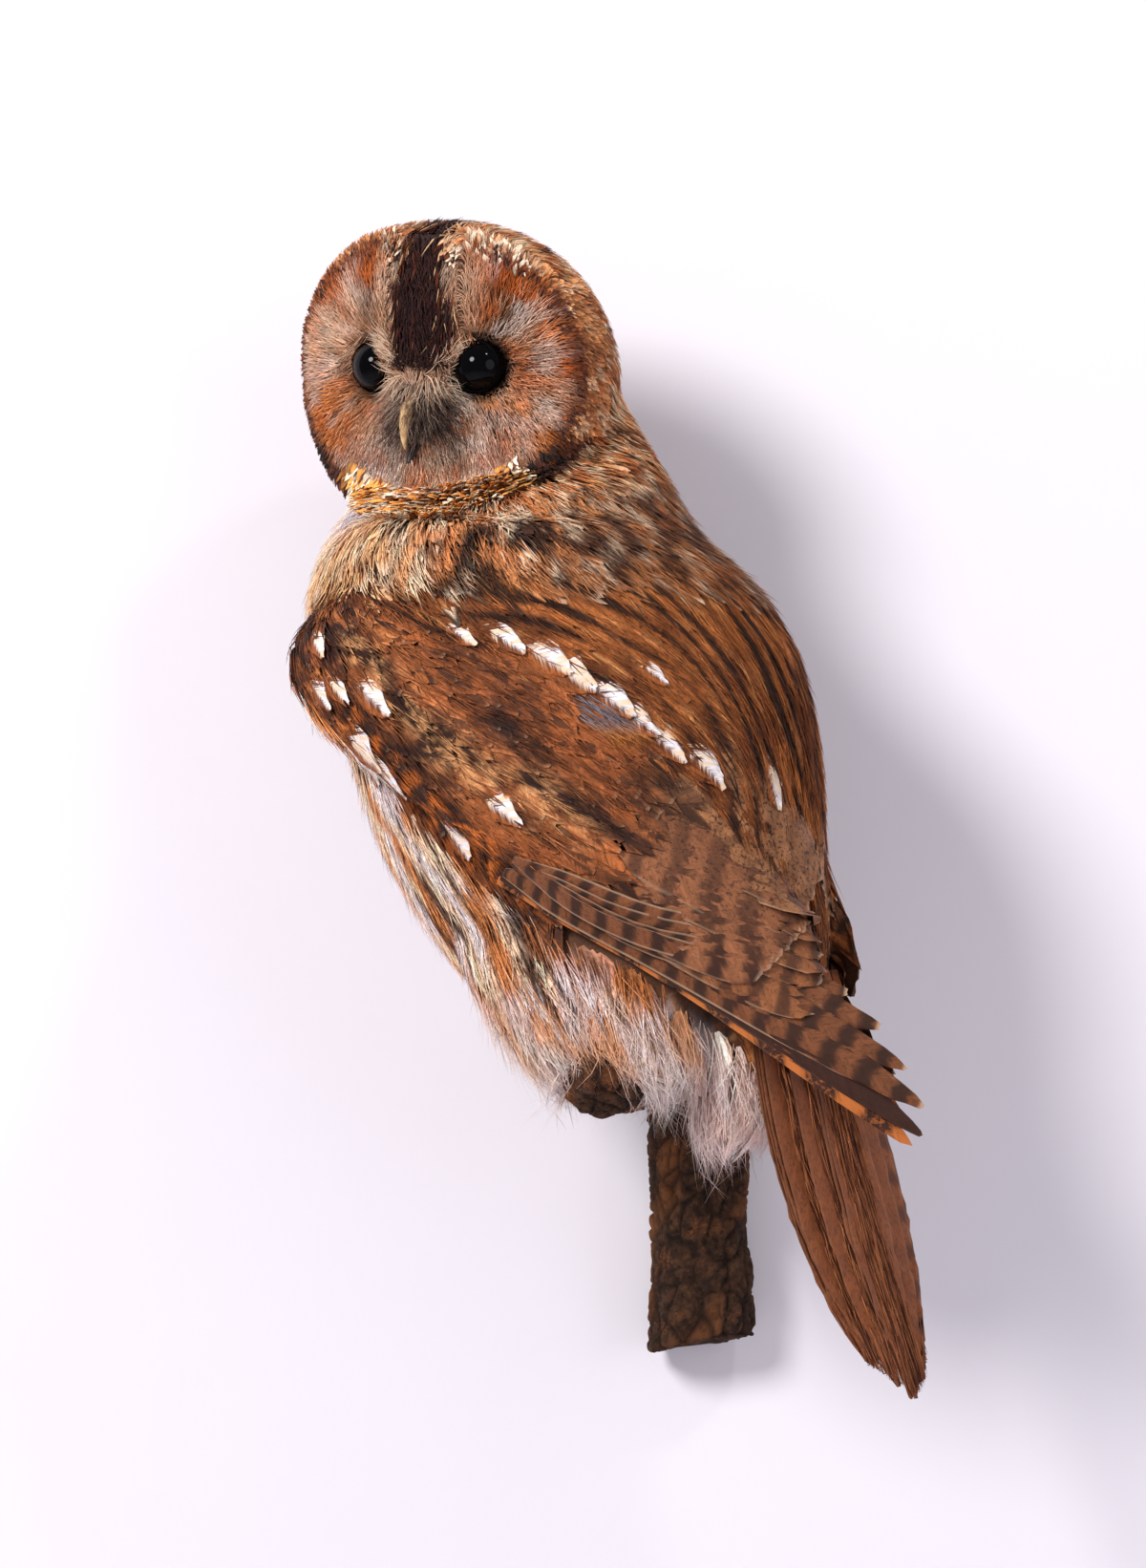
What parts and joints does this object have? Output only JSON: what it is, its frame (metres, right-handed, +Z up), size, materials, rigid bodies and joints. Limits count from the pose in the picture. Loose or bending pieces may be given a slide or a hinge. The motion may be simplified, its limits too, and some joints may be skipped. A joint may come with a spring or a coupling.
{
  "type": "taxidermy tawny owl",
  "caption": "Mounted tawny owl, wings folded, head turned over its left shoulder to face out, standing across a stub of bark that grows from a short bark post hung flat on a wall.",
  "frame": {"origin": "centre of the bark post's flat back face, on the wall plane", "axes": "+Y out of the post's back into the wall, +Z up, +X to the right as one faces the wall; the owl stands out towards -Y"},
  "size_m": [0.1921, 0.1582, 0.3484],
  "materials": {
    "bill_dark": "dark horn, satin",
    "bill_horn": "yellowish horn, satin",
    "claw_horn": "dark horn, satin",
    "eye_glass": "near-black glass eye, polished",
    "foot_down": "short pale down, matt",
    "head_feathers": "fine radiating feathers, matt",
    "trouser_feathers": "loose pale buff feathers, matt",
    "neck_feathers": "soft streaked feathers, matt",
    "bark": "rough cork bark, matt",
    "flight_feathers": "barred flight feathers, satin",
    "tail_feathers": "plain rufous tail feathers, satin",
    "body_feathers": "soft streaked and mottled feathers, matt",
    "vent_feathers": "loose whitish down, matt",
    "wing_feathers": "mottled wing coverts, matt"
  },
  "bodies": {
    "root": {"bill_lower": "bill_dark", "bill_upper": "bill_horn", "claw_left_1": "claw_horn", "claw_left_2": "claw_horn", "claw_left_3": "claw_horn", "claw_left_4": "claw_horn", "claw_right_1": "claw_horn", "claw_right_2": "claw_horn", "claw_right_3": "claw_horn", "claw_right_4": "claw_horn", "eye_left": "eye_glass", "eye_right": "eye_glass", "foot_left": "foot_down", "foot_right": "foot_down", "head": "head_feathers", "leg_left": "trouser_feathers", "leg_right": "trouser_feathers", "neck": "neck_feathers", "perch": "bark", "post": "bark", "primaries_left": "flight_feathers", "primaries_right": "flight_feathers", "tail": "tail_feathers", "trunk": "body_feathers", "vent": "vent_feathers", "wing_left": "wing_feathers", "wing_right": "wing_feathers"}
  },
  "joints": []
}
